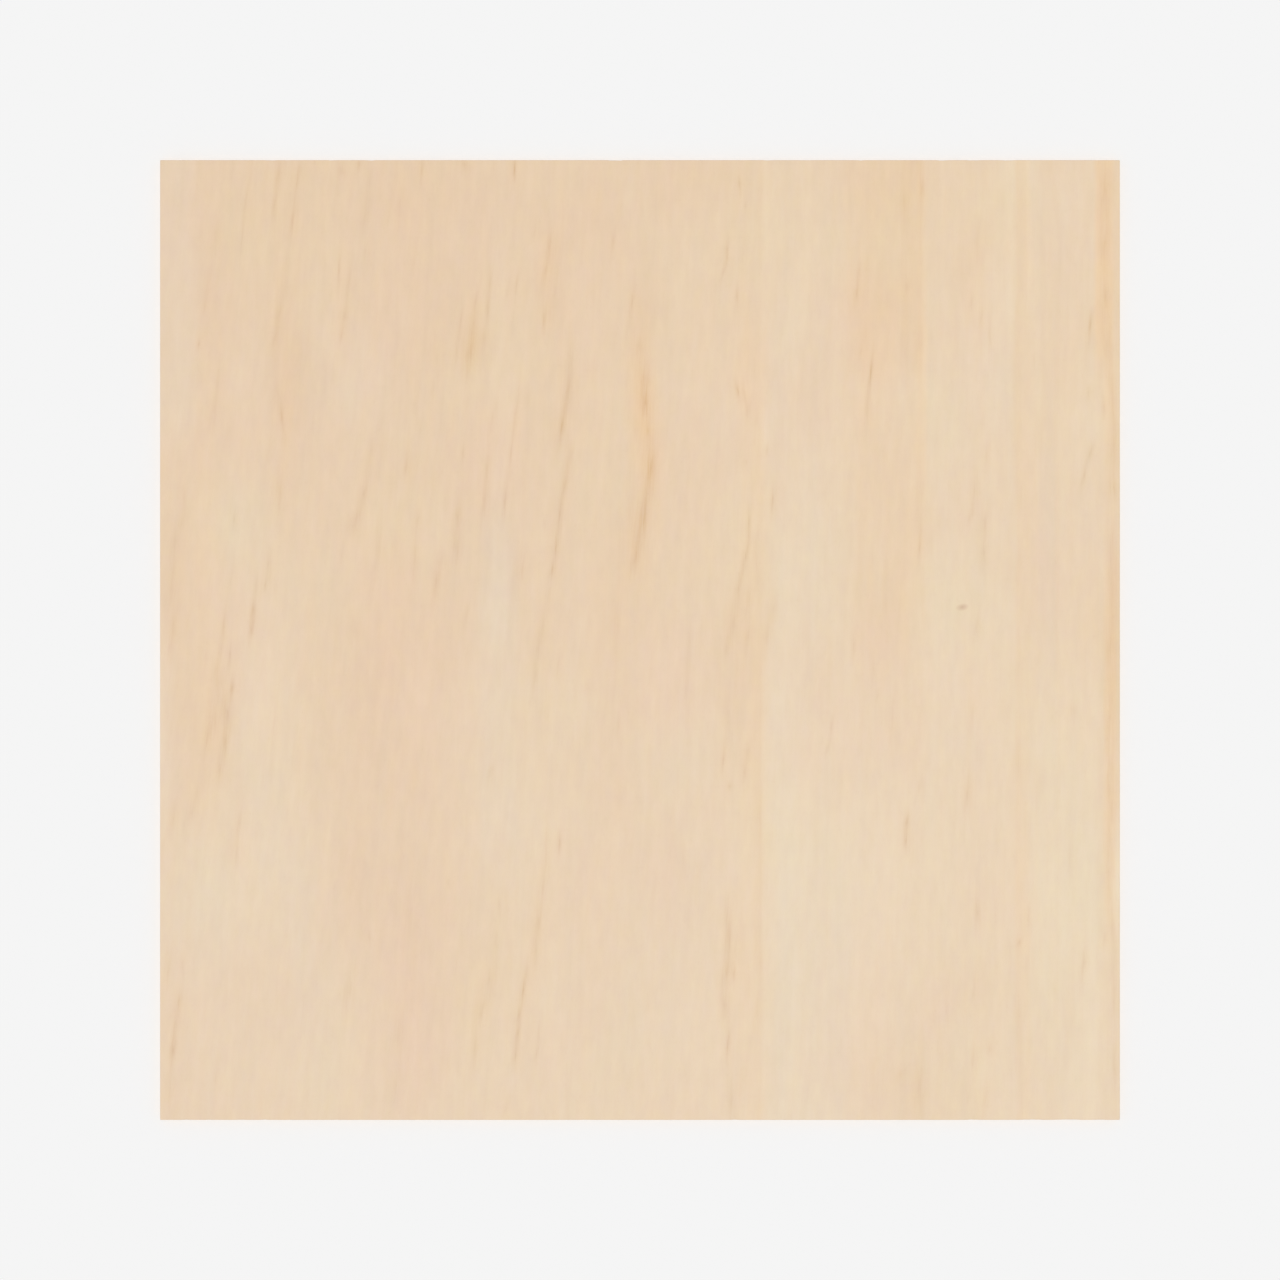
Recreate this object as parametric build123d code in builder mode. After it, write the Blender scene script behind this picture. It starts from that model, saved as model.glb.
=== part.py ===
"""Square sheet of thin plywood, lying flat on its back face.

Millimetres, +Z up. The origin is the centre of the back face. +Y runs along the grain
of the good face, +X across it.
"""

import os

from build123d import *

# Driving dimensions of the sheet
SHEET_WIDTH = 300.0  # across the face grain
SHEET_LENGTH = 300.0  # along the face grain
SHEET_THICKNESS = 3.0  # after sanding
EASED_EDGE = 0.25  # radius that sanding leaves on the sawn edges and corners

# The plies are glued and pressed before the sheet is sawn square, so it is one solid
with BuildPart() as plywood_sheet:
    with BuildSketch(Plane.XY):
        Rectangle(SHEET_WIDTH, SHEET_LENGTH)
    extrude(amount=SHEET_THICKNESS)
    fillet(plywood_sheet.edges(), radius=EASED_EDGE)
plywood_sheet.part.label = "plywood_sheet"

os.makedirs("parts", exist_ok=True)
export_step(plywood_sheet.part, "parts/plywood_sheet.step")
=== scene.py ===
"""Looks of the plywood sheet: a sanded good face, a plain back and sawn three-ply edges.

The sheet is worked out in millimetres, which turn into metres where they go to Blender. Names that end in
_PX are pixels of the 1280 x 1280 photograph. +Y runs along the grain of the good face, and +Z out of it.
"""

import math

import bpy
import numpy as np
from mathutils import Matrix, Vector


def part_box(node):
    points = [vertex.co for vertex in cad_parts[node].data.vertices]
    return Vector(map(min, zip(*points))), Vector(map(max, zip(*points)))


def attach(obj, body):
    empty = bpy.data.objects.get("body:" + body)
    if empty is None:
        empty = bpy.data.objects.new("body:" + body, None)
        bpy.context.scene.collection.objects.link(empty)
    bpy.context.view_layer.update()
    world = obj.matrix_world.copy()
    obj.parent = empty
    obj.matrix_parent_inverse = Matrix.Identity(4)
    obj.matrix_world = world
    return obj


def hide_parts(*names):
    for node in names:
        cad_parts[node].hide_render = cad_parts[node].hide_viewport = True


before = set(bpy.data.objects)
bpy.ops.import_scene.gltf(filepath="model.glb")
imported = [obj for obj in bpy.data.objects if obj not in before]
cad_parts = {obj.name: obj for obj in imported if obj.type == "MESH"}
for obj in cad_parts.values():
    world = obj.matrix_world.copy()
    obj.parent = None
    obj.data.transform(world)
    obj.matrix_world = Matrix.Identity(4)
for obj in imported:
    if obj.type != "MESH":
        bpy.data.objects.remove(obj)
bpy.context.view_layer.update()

# The sheet, from the frame
SHEET = "plywood_sheet"
SKIN = SHEET + "_skin"
MM = 0.001
sheet_low, sheet_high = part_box(SHEET)
WIDTH_MM, LENGTH_MM, THICK_MM = (size / MM for size in sheet_high - sheet_low)
HALF_WIDTH_MM = WIDTH_MM / 2
HALF_LENGTH_MM = LENGTH_MM / 2
EASED_EDGE_MM = 0.25  # radius on the solid's edges and corners
SIDES = 4
NEAR_SIDE, FAR_SIDE = 0, 2
PLIES = 3
PLY_MM = THICK_MM / PLIES
GLUE_LINES_MM = [PLY_MM * ply for ply in range(1, PLIES)]

# The photograph: the face is a square in the middle of the picture
PHOTO_PX = 1280
PHOTO_MIDDLE_PX = PHOTO_PX / 2
FACE_PX = 960
PX_MM = WIDTH_MM / FACE_PX

# Camera and light. The room and the lamp together light a level surface at strength 1
LENS_MM = 85
SENSOR_MM = 36
FLOOR_SIDE = 40  # metres
FLOOR_GREY = 0.913
FLOOR_GAP_MM = 0.05
SKY_LIGHT = 0.45
SUN_LIGHT = 0.55 * math.pi
SUN_SPREAD = math.radians(14)
SUN_TILT = (math.radians(2.5), math.radians(-1.5), 0)

# Colours of the veneer as the photograph shows them, 0 to 255, by how many levels darker than the mean
MEAN_COLOUR = (233.8, 209.4, 180.5)
PALE_COLOUR, PALE_TONE = (239.6, 221.0, 195.6), -12
DARK_COLOUR, DARK_TONE = (220.6, 186.6, 147.4), 24
GREYER_SHIFT = (-0.8, 0, 0.9)
PINKER_SHIFT = (0.3, -0.6, 0.4)
SHEEN = 0.025  # light that the wood's own sheen adds to these colours
GLUE_COLOUR = (158, 116, 80)

# How the tone and the hue drift from the middle to the right border and to the lower border, in levels
TONE_DRIFT_RIGHT = -1.6
TONE_DRIFT_DOWN = -2.2
GREYER_DRIFT_RIGHT = -0.4
GREYER_DRIFT_DOWN = 0.5
PINKER_DRIFT_RIGHT = -0.5

# How strongly the fibres of the good face show, in levels of tone and of hue
SMALL_FLECK_TONE = 5.5
MOTTLE_TONE = 5
PORE_TONE = 4
STREAK_TONE = 3.5
FIBRE_TONE = 2.4
CLOUD_TONE = 2
FINE_FIBRE_TONE = 1.3
STREAK_GREYER = 4
MOTTLE_GREYER = 3
BLUSH_GREYER = 3
BLUSH_PINKER = 4.5
CLOUD_PINKER = 4

# The plain back, in levels
BACK_TONE = 2
BACK_BAND_TONE = 14
BACK_FLECK_TONE = 8
BACK_STREAK_TONE = 6
BACK_FIBRE_TONE = 3
BACK_FINE_FIBRE_TONE = 2
BACK_BAND_GREYER = 4

# The sawn edges: how the plies' borders stray and blur, how the glue shows, then tones in levels
PLY_WANDER_MM = 0.14
PLY_RAGGED_MM = 0.05
PLY_SOFT_MM = 0.03
GLUE_CORE_MM = 0.01
GLUE_FADE_MM = 0.05
GLUE_SHOWS = 2.2
GLUE_GAPS = 0.55
EDGE_TONE = 1
SAW_MARK_TONE = 9
LINE_TONE = 26
DASH_TONE = 8
END_GRAIN_TONE = 9
RAY_TONE = 14
RING_TONE = 10
END_PORE_TONE = 7

# The sanded and sawn finishes
FACE_ROUGHNESS = 0.78
BACK_ROUGHNESS = 0.7
EDGE_ROUGHNESS = 0.8
FIBRE_GLOSS = 0.12  # how much smoother a raised fibre is, and a raised line of an edge
LINE_GLOSS = 0.08
FACE_BUMP_MM = 0.02
BACK_BUMP_MM = 0.025
EDGE_BUMP_MM = 0.03
BUMP_STRENGTH = 0.5

# Straight strips of the veneer: left and right side, softness of each, then the tone
# and, where a strip ends inside the face, its top, its bottom and the softness of its ends
STRIPS_PX = (
    (762, 850, 5, 60, -2.6),
    (924, 1015, 5, 8, -1.7),
    (984, 1013, 6, 4, -1.8, 140, 420, 60),
    (1016, 1022, 4, 4, 1.2),
    (1026, 1041, 4, 4, -2.0, 140, 410, 60),
    (1060, 1097, 5, 6, -1.5),
    (1060, 1099, 6, 6, -1.4, 890, 1140, 90),
    (846, 922, 8, 4, 1.5, 140, 372, 40),
    (901, 922, 3, 4, 1.8, 140, 372, 30),
    (858, 908, 12, 12, 1.6, 450, 660, 80),
    (753, 761, 5, 2, 1.3, 640, 1140, 60),
    (491, 508, 8, 10, -1.6, 230, 650, 80),
    (140, 197, 4, 10, -2.0, 140, 450, 60),
)

# Broad soft patches: centre, half width, half length, tone
PATCHES_PX = (
    (430, 330, 90, 220, 2.4),
    (440, 560, 80, 160, 2.0),
    (365, 700, 90, 150, 3.6),
    (400, 850, 90, 130, 2.2),
    (412, 1000, 70, 170, 3.2),
    (465, 990, 50, 90, 1.5),
    (262, 690, 60, 190, -4.2),
    (270, 850, 90, 90, -1.8),
    (232, 520, 45, 110, -2.6),
    (350, 385, 60, 70, -2.4),
    (500, 690, 60, 150, -1.8),
    (500, 820, 60, 70, -1.6),
    (580, 700, 40, 90, -1.2),
    (552, 1010, 30, 90, -1.8),
    (620, 560, 45, 140, 2.0),
    (612, 690, 40, 150, 1.6),
    (552, 270, 35, 130, 1.6),
    (545, 440, 60, 140, 1.2),
    (700, 800, 45, 160, -1.4),
    (690, 1010, 60, 120, -1.8),
    (790, 850, 50, 160, -1.4),
    (800, 560, 40, 120, -1.4),
    (768, 580, 16, 100, 3.0),
    (940, 640, 60, 130, -1.6),
    (970, 410, 60, 90, -1.0),
    (875, 320, 60, 70, 1.4),
    (885, 590, 60, 90, 1.0),
    (910, 1085, 90, 80, 3.0),
    (960, 990, 90, 110, 1.4),
    (300, 180, 120, 100, 0.8),
    (420, 180, 120, 80, 1.2),
    (700, 175, 120, 60, 1.4),
    (860, 175, 70, 60, 1.2),
    (170, 590, 25, 130, 2.0),
    (215, 320, 30, 180, 1.2),
    (205, 700, 35, 120, 1.5),
    (210, 1000, 60, 140, -1.2),
    (300, 1060, 90, 100, -0.8),
    (1080, 1000, 50, 160, -2.0),
    (1085, 420, 30, 60, -1.6),
    (1050, 600, 40, 140, 0.8),
    (288, 360, 26, 220, 2.2),
    (242, 380, 34, 60, -3.0),
    (370, 370, 36, 50, -2.0),
    (405, 315, 22, 34, -2.4),
    (895, 390, 40, 60, -2.5),
    (690, 385, 70, 70, -2.2),
    (434, 530, 26, 50, -3.0),
    (490, 612, 20, 50, -2.2),
    (738, 500, 32, 56, -2.2),
    (215, 890, 110, 110, -3.4),
    (880, 880, 64, 200, -4.4),
    (740, 870, 36, 80, -2.8),
    (545, 830, 46, 60, -2.8),
    (1044, 880, 28, 160, -4.4),
    (1062, 740, 56, 80, -3.2),
    (1006, 615, 24, 40, -2.6),
    (415, 690, 20, 60, -2.6),
    (1018, 172, 36, 60, -2.8),
    (690, 260, 50, 90, -1.6),
    (302, 382, 46, 60, 3.2),
    (648, 310, 30, 80, 3.0),
    (592, 212, 36, 60, 2.2),
    (540, 636, 34, 56, 3.0),
    (735, 660, 40, 80, 3.2),
    (815, 670, 34, 60, 3.0),
    (450, 640, 34, 60, 2.2),
    (1102, 620, 40, 80, 4.0),
    (922, 520, 36, 40, 2.0),
    (984, 228, 28, 50, 2.6),
    (812, 385, 36, 66, 2.6),
    (355, 880, 30, 80, 2.6),
    (768, 858, 22, 50, 2.4),
    (495, 950, 30, 60, 1.6),
    (1070, 1010, 22, 80, 3.0),
    (965, 1000, 60, 70, 2.0),
    (945, 1112, 60, 50, 3.0),
    (1098, 320, 22, 40, 2.6),
    (158, 725, 16, 130, -8),
    (325, 342, 18, 28, -2.6),
    (510, 410, 14, 70, -2.4),
    (788, 320, 24, 130, -2.6),
    (455, 240, 26, 40, -2.2),
    (338, 710, 18, 26, -2.4),
    (212, 610, 14, 50, -2.4),
    (252, 730, 16, 70, -2.2),
    (1062, 200, 26, 60, -3),
    (1015, 300, 14, 60, -2),
    (490, 832, 14, 34, -2.2),
    (520, 880, 14, 28, -2.4),
    (302, 955, 18, 46, -2.6),
    (785, 690, 22, 80, -2.6),
    (735, 420, 40, 50, -2),
    (885, 545, 34, 60, -1.8),
    (955, 690, 40, 70, -1.2),
    (1103, 585, 12, 80, -3.4),
    (1119, 872, 10, 80, -8),
    (1095, 845, 22, 50, -2.4),
    (485, 350, 14, 28, 3.6),
    (376, 450, 16, 40, 2.4),
    (590, 372, 10, 18, 2.6),
    (530, 398, 10, 16, 2.6),
    (962, 272, 14, 30, 2.6),
    (856, 298, 14, 22, 2.6),
    (1045, 782, 13, 32, 4),
    (1074, 730, 34, 56, 2.8),
    (1117, 455, 9, 40, 3.6),
    (1117, 690, 9, 80, 4.4),
    (655, 610, 20, 50, 2.4),
    (412, 465, 12, 30, 2),
    (675, 865, 16, 40, 1.8),
    (525, 718, 14, 30, 2.4),
    (352, 530, 12, 20, 3),
    (360, 632, 34, 18, 1.6),
    (418, 780, 14, 40, 2),
    (838, 780, 14, 40, 2.2),
    (1117, 590, 8, 80, 4.4),
    (977, 205, 14, 26, -3),
    (973, 360, 14, 60, -2.5),
    (587, 335, 16, 44, -2),
    (577, 280, 14, 40, -2.2),
    (773, 420, 12, 50, -2.5),
    (630, 195, 10, 40, -2),
    (1100, 427, 14, 22, -3),
    (302, 685, 12, 40, 2),
    (617, 790, 10, 44, 2),
    (1106, 195, 14, 50, 2.5),
    (947, 1050, 12, 40, 2),
    (470, 340, 16, 48, 3),
    (641, 400, 14, 56, 2),
    (380, 548, 9, 18, 2.5),
)

# Straight strips that are greyer, or more orange if below 0, given as the strips above
GREYER_STRIPS_PX = (
    (773, 850, 8, 40, 0.7),
    (778, 850, 10, 20, 0.8, 840, 1140, 80),
    (738, 766, 14, 8, -1.6, 330, 1140, 80),
    (843, 926, 10, 6, -1.2, 140, 640, 90),
    (917, 927, 4, 4, -1.2, 140, 500, 80),
    (928, 1012, 12, 12, 0.4, 330, 820, 80),
    (1016, 1030, 5, 6, -1.4),
    (1038, 1056, 6, 6, 1.2, 440, 820, 80),
    (1095, 1113, 6, 6, -3.6, 140, 370, 60),
    (1104, 1116, 6, 4, -2.8, 370, 930, 60),
    (178, 226, 12, 16, -0.8, 420, 780, 90),
    (150, 196, 6, 30, 1.6, 140, 420, 90),
    (479, 516, 14, 14, 1.6, 520, 870, 90),
)

# Broad soft patches that are greyer, or more orange if below 0: centre, half width, half length, levels
GREYER_PX = (
    (642, 400, 20, 110, -4.6),
    (648, 480, 18, 120, -2.8),
    (1110, 720, 9, 230, -1.6),
    (637, 555, 14, 60, -2.4),
    (608, 640, 24, 140, -1.0),
    (549, 275, 18, 70, -2),
    (475, 335, 18, 60, -1),
    (287, 400, 22, 90, -1),
    (287, 280, 24, 110, -1),
    (567, 440, 16, 150, -0.8),
    (875, 320, 40, 70, -1.2),
    (736, 980, 18, 90, -1.4),
    (198, 720, 26, 130, -1.4),
    (192, 800, 22, 50, -1.6),
    (533, 950, 14, 120, -2),
    (480, 990, 26, 90, -1.4),
    (400, 640, 60, 200, -0.8),
    (341, 395, 26, 36, 2.2),
    (363, 350, 22, 60, 1.2),
    (235, 520, 30, 46, 1.8),
    (288, 880, 32, 90, 2.4),
    (262, 800, 26, 70, 1.8),
    (205, 920, 60, 80, 1.6),
    (672, 760, 50, 46, 1.8),
    (660, 960, 60, 140, 0.8),
    (812, 960, 44, 110, 0.8),
    (789, 570, 22, 80, 1.2),
    (970, 745, 46, 40, 1.6),
    (998, 385, 16, 60, 1.4),
    (1080, 820, 24, 120, 1),
    (310, 1000, 50, 150, 1.3),
    (310, 350, 30, 110, 1.2),
    (1055, 230, 60, 120, 1.6),
    (1090, 500, 30, 120, 1.2),
    (725, 430, 30, 60, 1.2),
    (175, 780, 30, 90, 1.6),
    (810, 780, 60, 140, -1),
)

# Where the veneer is pinker, or yellower if below 0: centre, half width, half length, levels
PINKER_PX = (
    (395, 330, 70, 150, 1.4),
    (400, 690, 100, 190, 1.8),
    (670, 670, 56, 100, 2.4),
    (402, 1000, 66, 140, 2.0),
    (425, 1060, 44, 60, 1.6),
    (850, 320, 66, 70, 1.5),
    (880, 645, 34, 56, 2.0),
    (1045, 560, 18, 170, 1.8),
    (940, 1010, 24, 56, 2.2),
    (660, 880, 24, 60, 1.4),
    (590, 200, 46, 50, 0.8),
    (470, 460, 66, 70, 1.4),
    (235, 240, 46, 70, -1.9),
    (230, 530, 56, 70, -2.1),
    (390, 530, 34, 56, -2.1),
    (960, 600, 66, 80, -2.3),
    (1010, 200, 56, 70, -2.1),
    (940, 400, 46, 70, -1.5),
    (250, 780, 66, 90, -1.5),
    (780, 830, 66, 70, -1.5),
    (1075, 900, 66, 220, -1.3),
    (540, 840, 36, 70, -1.2),
    (230, 900, 76, 70, -1.2),
)

# Brown flecks along the grain: width, tone, then the points that the fleck runs through from its top down
FLECKS_PX = (
    (4, 6, (250, 178), (244, 214), (240, 258)),
    (6, 8, (279, 162), (276, 188), (272, 220)),
    (5, 7.5, (299, 162), (296, 200)),
    (4, 10, (294, 208), (291, 234)),
    (8, 4, (291, 236), (287, 270), (281, 305)),
    (6, 8.5, (281, 302), (277, 326), (273, 350)),
    (6, 9, (280, 396), (283, 440)),
    (6, 5, (217, 225), (213, 252)),
    (7, 3, (211, 260), (205, 300)),
    (4, 5, (207, 292), (203, 318)),
    (4, 9, (200, 338), (198, 350)),
    (5, 6, (220, 368), (216, 396), (212, 424)),
    (8, 8, (341, 164), (342, 178)),
    (4, 8, (360, 158), (359, 170)),
    (5, 3, (301, 160), (300, 176)),
    (3, 6, (315, 156), (315, 166)),
    (3, 9, (341, 250), (338, 292)),
    (4, 7, (352, 262), (346, 306)),
    (7, 7.5, (346, 304), (342, 328), (339, 344)),
    (5, 4, (333, 284), (331, 302)),
    (8, 4, (371, 164), (369, 200), (362, 232)),
    (5, 5, (368, 240), (364, 262)),
    (5, 3, (396, 164), (397, 186)),
    (5, 5, (401, 182), (398, 226)),
    (4, 7, (422, 158), (421, 182)),
    (7, 7, (464, 158), (467, 172)),
    (4, 4, (417, 248), (413, 276)),
    (4, 6, (463, 300), (458, 336), (454, 366)),
    (3, 7.5, (478, 288), (474, 312)),
    (9, 5.5, (476, 308), (471, 340), (465, 366)),
    (10, 5, (472, 330), (467, 378)),
    (6, 4, (440, 340), (435, 376), (429, 402)),
    (5, 4, (417, 394), (413, 414)),
    (4, 7, (464, 444), (462, 460)),
    (5, 6, (408, 458), (404, 478)),
    (6, 5, (371, 438), (368, 466), (364, 492)),
    (8, 8, (366, 484), (361, 504), (355, 528)),
    (4, 4.5, (468, 364), (466, 380)),
    (4, 13, (515, 157), (514, 182)),
    (5, 6.5, (491, 268), (489, 300), (486, 328), (483, 348)),
    (4, 5, (508, 284), (505, 306)),
    (4, 8, (518, 270), (515, 300)),
    (4, 3, (515, 300), (512, 332)),
    (5, 7, (549, 232), (547, 260), (543, 284)),
    (20, 3, (553, 220), (552, 290), (548, 340)),
    (5, 5, (535, 224), (532, 242)),
    (4, 4, (557, 278), (554, 304)),
    (4, 8, (545, 310), (543, 332)),
    (5, 8, (615, 228), (612, 254)),
    (4, 10, (635, 288), (631, 316)),
    (5, 4.5, (630, 316), (626, 346)),
    (8, 5, (637, 332), (640, 358)),
    (9, 6, (644, 366), (645, 390)),
    (8, 9.5, (645, 388), (645, 418)),
    (5, 6, (648, 424), (647, 438)),
    (9, 11, (651, 446), (649, 490)),
    (8, 10.5, (647, 492), (640, 546)),
    (7, 7.5, (638, 546), (633, 572)),
    (24, 5, (641, 330), (645, 450), (628, 590)),
    (6, 4.5, (573, 340), (570, 380)),
    (6, 8, (570, 376), (565, 408), (559, 446)),
    (16, 3, (571, 340), (566, 400), (560, 450)),
    (5, 6.5, (571, 448), (567, 474), (562, 502)),
    (5, 9, (561, 500), (559, 530), (554, 564), (550, 580)),
    (14, 3, (568, 450), (560, 520), (554, 580)),
    (6, 5, (497, 398), (489, 436)),
    (4, 7, (520, 384), (514, 432), (508, 476)),
    (6, 8, (487, 452), (485, 488), (481, 522)),
    (5, 10, (506, 486), (502, 518)),
    (4, 8, (727, 238), (726, 262), (721, 282)),
    (3, 10, (739, 176), (739, 192)),
    (3, 5, (745, 200), (745, 212)),
    (3, 10, (737, 286), (737, 306)),
    (4, 10.5, (736, 380), (740, 400)),
    (4, 8, (744, 386), (747, 410)),
    (5, 5, (752, 398), (747, 418)),
    (6, 3, (694, 362), (691, 386)),
    (4, 4, (718, 436), (715, 478)),
    (4, 4, (758, 414), (757, 426)),
    (4, 4, (755, 436), (754, 446)),
    (4, 7, (768, 444), (767, 456)),
    (4, 4, (745, 456), (744, 468)),
    (4, 15, (873, 354), (870, 392)),
    (4, 10, (868, 394), (866, 428)),
    (4, 7, (859, 260), (858, 284), (855, 304)),
    (4, 5, (862, 344), (859, 362)),
    (5, 9, (923, 172), (922, 204)),
    (6, 5, (904, 188), (904, 218)),
    (4, 6, (907, 280), (907, 294)),
    (5, 3, (918, 332), (918, 362)),
    (5, 5, (978, 238), (976, 284)),
    (5, 5, (973, 286), (970, 318)),
    (4, 6, (982, 308), (980, 328)),
    (5, 5.5, (990, 314), (990, 362)),
    (4, 11.5, (1092, 310), (1089, 338)),
    (6, 3, (1087, 338), (1085, 360)),
    (3, 8, (1089, 386), (1088, 398)),
    (4, 7, (1104, 396), (1104, 418)),
    (5, 9, (1094, 442), (1087, 464), (1081, 488)),
    (6, 4, (1034, 352), (1035, 366)),
    (4, 5, (988, 442), (985, 466)),
    (5, 5, (976, 462), (977, 482)),
    (6, 8, (976, 478), (974, 506), (967, 528)),
    (7, 8, (986, 508), (984, 540), (985, 568)),
    (12, 8, (1103, 160), (1106, 220), (1104, 262), (1107, 330), (1108, 362)),
    (8, 7, (1110, 360), (1114, 420), (1113, 470)),
    (9, 8, (1112, 476), (1116, 500)),
    (10, 8, (1112, 520), (1111, 600), (1110, 680), (1108, 760)),
    (9, 8, (1110, 760), (1110, 820), (1108, 890)),
    (8, 6, (1111, 890), (1113, 960), (1114, 1040), (1114, 1100)),
    (6, 4.5, (184, 484), (184, 512), (180, 534)),
    (10, 6, (176, 528), (172, 566), (171, 612)),
    (5, 6, (174, 612), (172, 634), (167, 660)),
    (5, 3, (168, 690), (166, 730)),
    (5, 7, (235, 508), (234, 528)),
    (4, 5, (232, 572), (229, 594)),
    (4, 5, (257, 572), (256, 596)),
    (6, 12.5, (255, 600), (253, 620), (250, 640)),
    (5, 7, (271, 552), (268, 576), (264, 594)),
    (5, 7, (225, 612), (222, 636), (219, 660)),
    (7, 5, (219, 656), (213, 684)),
    (4, 9, (231, 642), (229, 668)),
    (6, 10.5, (233, 678), (231, 698)),
    (8, 11, (227, 698), (227, 724), (223, 760)),
    (14, 6, (223, 664), (219, 700), (211, 746)),
    (5, 8, (210, 722), (203, 758)),
    (5, 8, (220, 760), (219, 780)),
    (6, 4, (205, 756), (203, 780)),
    (7, 4.5, (201, 782), (194, 804), (190, 822)),
    (4, 5, (276, 700), (271, 764)),
    (7, 4.5, (381, 522), (377, 554), (372, 584)),
    (7, 4.5, (397, 528), (394, 566)),
    (4, 6, (421, 508), (418, 528)),
    (6, 6, (418, 528), (412, 586)),
    (8, 8, (459, 502), (456, 532), (456, 564)),
    (7, 9, (439, 558), (434, 600)),
    (4, 5, (343, 542), (342, 564)),
    (4, 4, (470, 598), (465, 626)),
    (12, 5, (281, 470), (279, 514)),
    (4, 3, (275, 582), (275, 596)),
    (5, 9.5, (750, 502), (748, 540), (742, 574)),
    (5, 4, (759, 518), (757, 550)),
    (5, 10.5, (775, 482), (772, 514)),
    (8, 7, (741, 572), (736, 604), (730, 642)),
    (5, 6, (728, 636), (725, 660)),
    (6, 7, (751, 584), (748, 614)),
    (6, 7, (750, 622), (746, 650)),
    (5, 5, (755, 546), (757, 580)),
    (8, 7, (776, 596), (770, 622), (765, 650)),
    (5, 6, (619, 606), (616, 640)),
    (4, 4, (545, 516), (545, 532)),
    (4, 6, (525, 552), (520, 584)),
    (10, 4, (519, 540), (517, 602)),
    (6, 5, (551, 578), (546, 612), (540, 640)),
    (6, 7.5, (541, 634), (537, 662), (535, 692)),
    (6, 5, (561, 650), (557, 680)),
    (8, 4, (543, 696), (539, 742)),
    (5, 5, (588, 682), (587, 694)),
    (5, 5, (620, 708), (617, 738)),
    (6, 5, (691, 620), (688, 664), (686, 718)),
    (8, 5, (728, 702), (731, 744)),
    (4, 10, (725, 746), (722, 774)),
    (5, 7, (749, 740), (746, 766), (743, 780)),
    (6, 6, (730, 782), (729, 790)),
    (5, 7, (493, 762), (489, 782)),
    (3, 4, (531, 698), (530, 706)),
    (6, 4, (921, 478), (919, 536)),
    (4, 10.5, (920, 536), (918, 560)),
    (4, 5, (979, 614), (974, 642)),
    (5, 7, (855, 634), (853, 658)),
    (6, 4, (887, 550), (885, 584)),
    (5, 4, (885, 588), (886, 618)),
    (5, 4, (872, 656), (876, 684)),
    (5, 4, (880, 686), (877, 704)),
    (6, 5, (894, 702), (892, 740)),
    (4, 7, (833, 712), (829, 740), (826, 756)),
    (5, 5, (975, 696), (970, 730)),
    (8, 7, (1073, 702), (1072, 718)),
    (7, 9, (969, 780), (966, 812)),
    (6, 5, (1018, 736), (1018, 794)),
    (4, 4, (922, 778), (916, 800)),
    (7, 4, (1060, 772), (1056, 814)),
    (5, 8, (241, 808), (238, 838), (235, 870)),
    (6, 4, (231, 838), (230, 858)),
    (7, 6, (176, 800), (171, 836)),
    (8, 3, (194, 798), (192, 818)),
    (5, 4, (185, 814), (184, 838)),
    (5, 6, (182, 956), (183, 976)),
    (6, 7, (180, 992), (177, 1010)),
    (6, 10.5, (178, 1006), (173, 1042)),
    (6, 11, (174, 1040), (171, 1062)),
    (10, 6, (171, 1058), (170, 1118)),
    (7, 5, (168, 950), (167, 994)),
    (7, 4, (350, 982), (346, 1004), (342, 1022)),
    (14, 3, (354, 956), (345, 1016)),
    (16, 4, (400, 1010), (396, 1060), (392, 1118)),
    (14, 3, (412, 870), (410, 955)),
    (5, 4.5, (448, 876), (447, 888)),
    (6, 3, (446, 902), (446, 930)),
    (4, 5, (369, 932), (369, 944)),
    (4, 4, (335, 880), (333, 894)),
    (6, 7, (476, 1024), (473, 1068)),
    (4, 4, (216, 1068), (214, 1088)),
    (5, 3, (458, 1064), (457, 1078)),
    (4, 11, (560, 832), (559, 854)),
    (7, 6, (548, 816), (545, 866), (540, 910)),
    (7, 7.5, (540, 906), (537, 936), (535, 966)),
    (5, 4, (528, 954), (526, 984)),
    (6, 11, (526, 976), (521, 1006), (518, 1024)),
    (5, 12, (520, 1022), (517, 1044), (515, 1066)),
    (4, 6, (499, 892), (499, 914)),
    (8, 4, (498, 912), (493, 964)),
    (11, 6, (494, 966), (485, 994), (480, 1016)),
    (4, 6, (482, 1006), (480, 1024)),
    (4, 6, (541, 1016), (538, 1046), (535, 1062)),
    (5, 6, (508, 1100), (504, 1120)),
    (5, 9, (727, 892), (725, 955)),
    (4, 9, (730, 916), (728, 962)),
    (4, 4, (736, 930), (734, 962)),
    (9, 9, (728, 958), (724, 990), (724, 1020)),
    (5, 8, (733, 966), (733, 982)),
    (4, 11.5, (730, 1026), (727, 1060)),
    (9, 5, (732, 1076), (729, 1122)),
    (6, 3, (759, 806), (759, 842)),
    (8, 3, (758, 878), (758, 914)),
    (6, 5, (761, 950), (760, 974)),
    (6, 5, (758, 996), (755, 1026)),
    (6, 3, (648, 1000), (649, 1012)),
    (5, 3, (648, 1038), (649, 1052)),
    (6, 4, (671, 806), (670, 830)),
    (5, 11, (908, 812), (906, 832), (905, 850)),
    (5, 9, (978, 894), (978, 930)),
    (5, 5, (1027, 902), (1030, 930)),
    (5, 8, (1021, 938), (1018, 947)),
    (7, 4, (1029, 948), (1028, 972)),
    (9, 4, (1018, 996), (1018, 1076)),
    (4, 4.5, (946, 1002), (948, 1022)),
    (6, 4, (976, 974), (973, 1006)),
    (6, 7, (975, 1046), (973, 1074)),
    (10, 7, (922, 1056), (917, 1112)),
    (6, 5, (906, 1066), (894, 1082)),
    (6, 5, (971, 1080), (967, 1112)),
    (5, 5, (987, 1080), (983, 1118)),
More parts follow.
